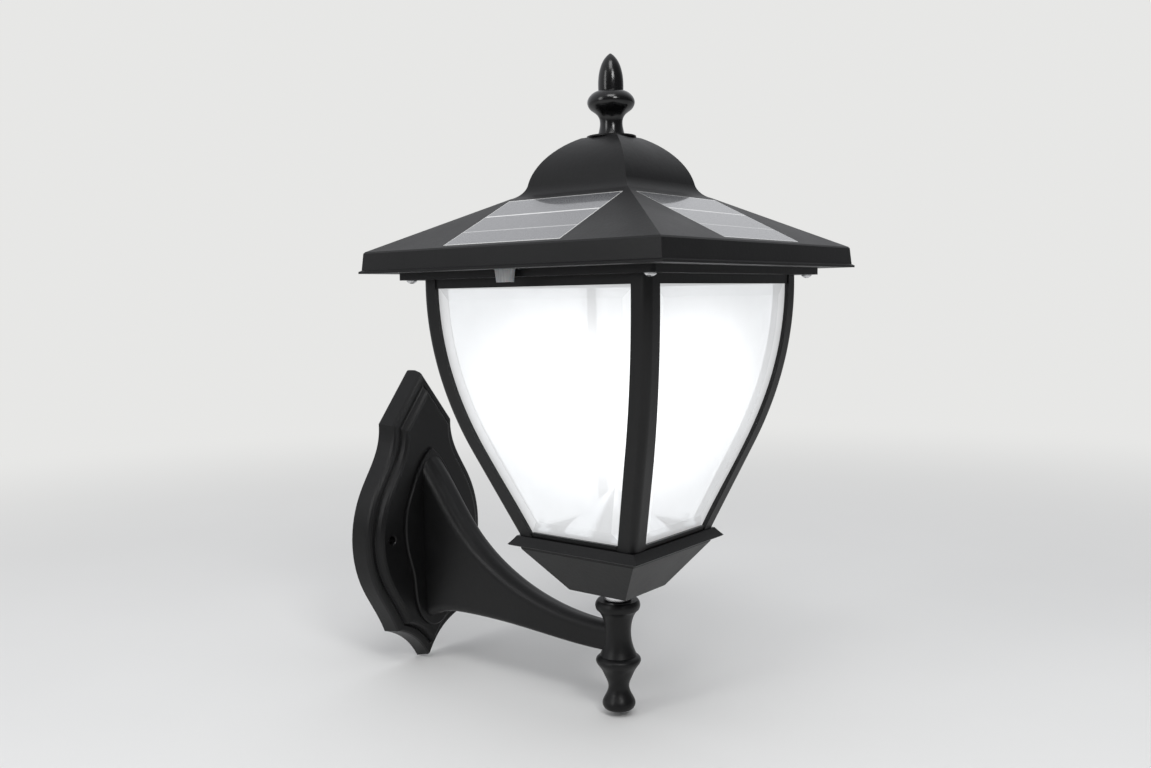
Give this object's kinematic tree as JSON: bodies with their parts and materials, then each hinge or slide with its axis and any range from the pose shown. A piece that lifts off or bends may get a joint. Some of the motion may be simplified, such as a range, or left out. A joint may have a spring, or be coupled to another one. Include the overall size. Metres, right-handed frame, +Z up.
{
  "type": "solar wall lantern",
  "caption": "Square pagoda-roofed lantern with curved clear panes and roof solar panels, on a swan-neck arm with a shield-shaped wall plate.",
  "frame": {"origin": "on the wall face of the wall plate, midway between the two wall screw holes", "axes": "+Z up, +Y into the wall, the lantern stands off towards -Y; symmetric about x = 0 apart from the switch"},
  "size_m": [0.22, 0.298, 0.4143],
  "materials": {
    "board_green": "solder mask",
    "board_white": "solder mask",
    "bright_reflector": "metallised",
    "bright_steel": "satin",
    "cell_sleeve": "shrink sleeve",
    "clear_clip": "clear moulded",
    "clear_pane": "clear, bevelled",
    "contact_plate": "nickel plate",
    "gasket_rubber": "foam",
    "grey_tab": "translucent grey",
    "inner_black": "moulded",
    "led_yellow": "phosphor",
    "lens_white": "diffusing",
    "roof_black": "satin moulded",
    "satin_black": "satin powder coat",
    "solar_cell": "glossy laminate over dark cells"
  },
  "bodies": {
    "lantern": {"arm_screws": "bright_steel", "base_deck": "satin_black", "base_pan": "satin_black", "battery_cell": "cell_sleeve", "battery_cradle": "inner_black", "bracket_arm": "satin_black", "cell_contacts": "contact_plate", "clamp_stud": "bright_steel", "cone_reflector": "bright_reflector", "control_board": "board_green", "corner_post_1": "satin_black", "corner_post_2": "satin_black", "corner_post_3": "satin_black", "corner_post_4": "satin_black", "cover_gasket": "gasket_rubber", "drop_finial": "satin_black", "finial_screw": "bright_steel", "finial_washer": "satin_black", "foot_screws": "bright_steel", "glass_pane_back": "clear_pane", "glass_pane_front": "clear_pane", "glass_pane_left": "clear_pane", "glass_pane_right": "clear_pane", "head_screws": "bright_steel", "led_board": "board_white", "led_chips": "led_yellow", "led_lens": "lens_white", "lock_washer": "bright_steel", "pane_clips": "clear_clip", "roof_cover": "inner_black", "roof_screws": "bright_steel", "roof_shell": "roof_black", "solar_panel_back": "solar_cell", "solar_panel_front": "solar_cell", "solar_panel_left": "solar_cell", "solar_panel_right": "solar_cell", "steel_ring": "bright_steel", "stud_nut": "bright_steel", "switch_body": "inner_black", "top_finial": "satin_black", "top_frame": "satin_black", "wall_plate": "satin_black"},
    "switch_knob": {"switch_knob": "grey_tab"}
  },
  "joints": [
    {"name": "switch_slide", "type": "slide", "parent": "lantern", "child": "switch_knob", "axis": [0, 1, 0], "range_m": [0, 0.005]}
  ]
}
